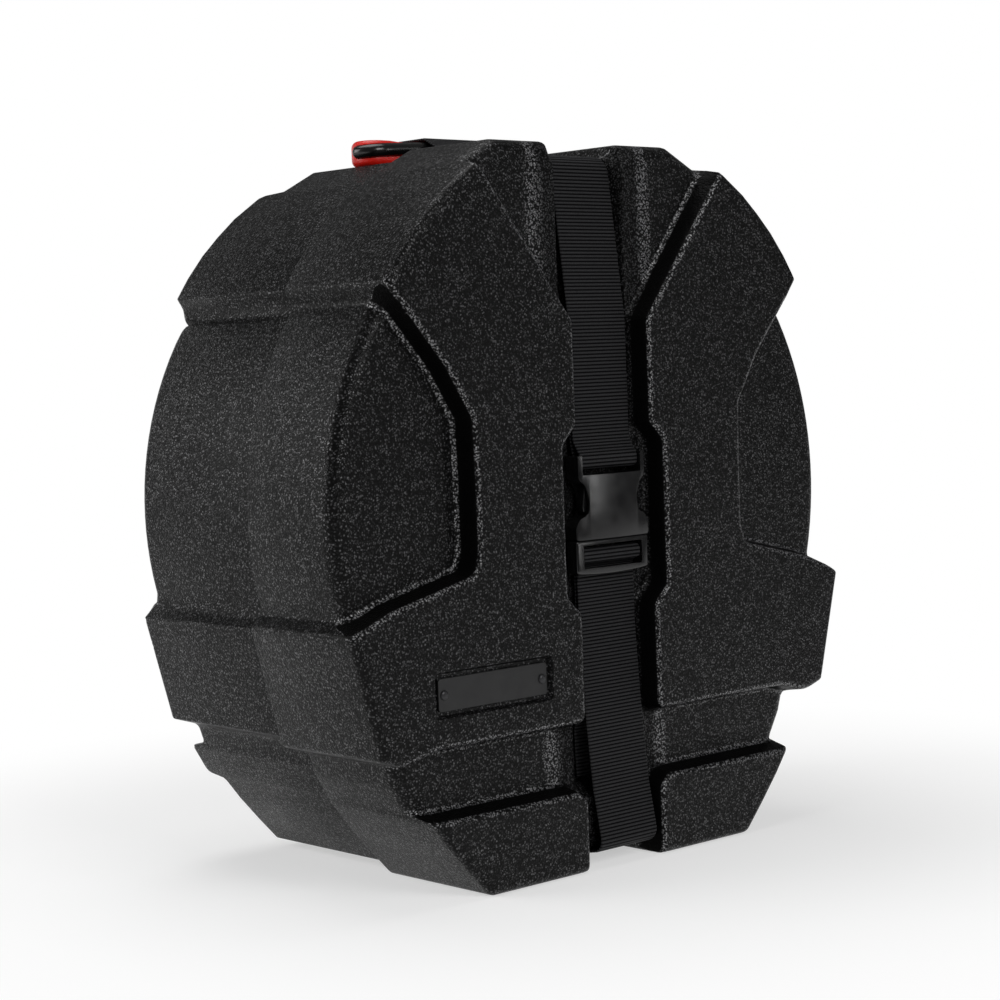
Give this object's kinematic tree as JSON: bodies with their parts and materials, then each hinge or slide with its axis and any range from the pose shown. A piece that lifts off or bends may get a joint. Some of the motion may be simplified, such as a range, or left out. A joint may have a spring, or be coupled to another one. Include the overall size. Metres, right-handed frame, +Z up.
{
  "type": "drum case",
  "caption": "Moulded drum case in telescoping halves, with raised panels, a webbing strap with a side-release buckle, and a carry handle.",
  "frame": {"origin": "middle of the outer box at the level that the feet stand on", "axes": "+Z up, +X to the right seen from the buckle's side, -Y towards the buckle (front)"},
  "size_m": [0.423, 0.235, 0.4603],
  "materials": {
    "shell": "pebbled",
    "webbing": "ribbed weave",
    "buckle": "satin",
    "badge": "satin",
    "handle_red": "satin gloss",
    "grip_black": "gloss",
    "foam": "matt foam",
    "rivet_black": "satin",
    "steel": "plated"
  },
  "bodies": {
    "base": {"base_shell": "shell", "base_pad": "foam", "cradle_liner": "foam", "strap_base": "webbing", "strap_rivet_left": "rivet_black", "strap_rivet_right": "rivet_black", "strap_washer_left": "steel", "strap_washer_right": "steel", "handle_body": "handle_red", "handle_grip_front": "grip_black", "handle_grip_rear": "grip_black", "handle_screw_left_front": "steel", "handle_screw_left_rear": "steel", "handle_screw_right_front": "steel", "handle_screw_right_rear": "steel", "handle_plate_left": "steel", "handle_plate_right": "steel"},
    "lid": {"lid_shell": "shell", "lid_pad": "foam", "badge_plate": "badge", "badge_rivet_left": "rivet_black", "badge_rivet_right": "rivet_black", "strap_front_upper": "webbing", "strap_front_lower": "webbing", "buckle_socket": "buckle", "buckle_plug": "buckle"},
    "prong_left": {"prong_left": "buckle"},
    "prong_right": {"prong_right": "buckle"}
  },
  "joints": [
    {"name": "lid_lift_off", "type": "slide", "parent": "base", "child": "lid", "axis": [0, -1, 0], "range_m": [0, 0.2]},
    {"name": "prong_left_squeeze", "type": "hinge", "parent": "lid", "child": "prong_left", "pos_m": [-0.017, -0.10808, 0.2036], "axis": [0, 1, 0], "range_deg": [0, 8], "stiffness_Nm_per_rad": 1.5},
    {"name": "prong_right_squeeze", "type": "hinge", "parent": "lid", "child": "prong_right", "pos_m": [0.017, -0.10808, 0.2036], "axis": [0, -1, 0], "range_deg": [0, 8], "stiffness_Nm_per_rad": 1.5}
  ]
}
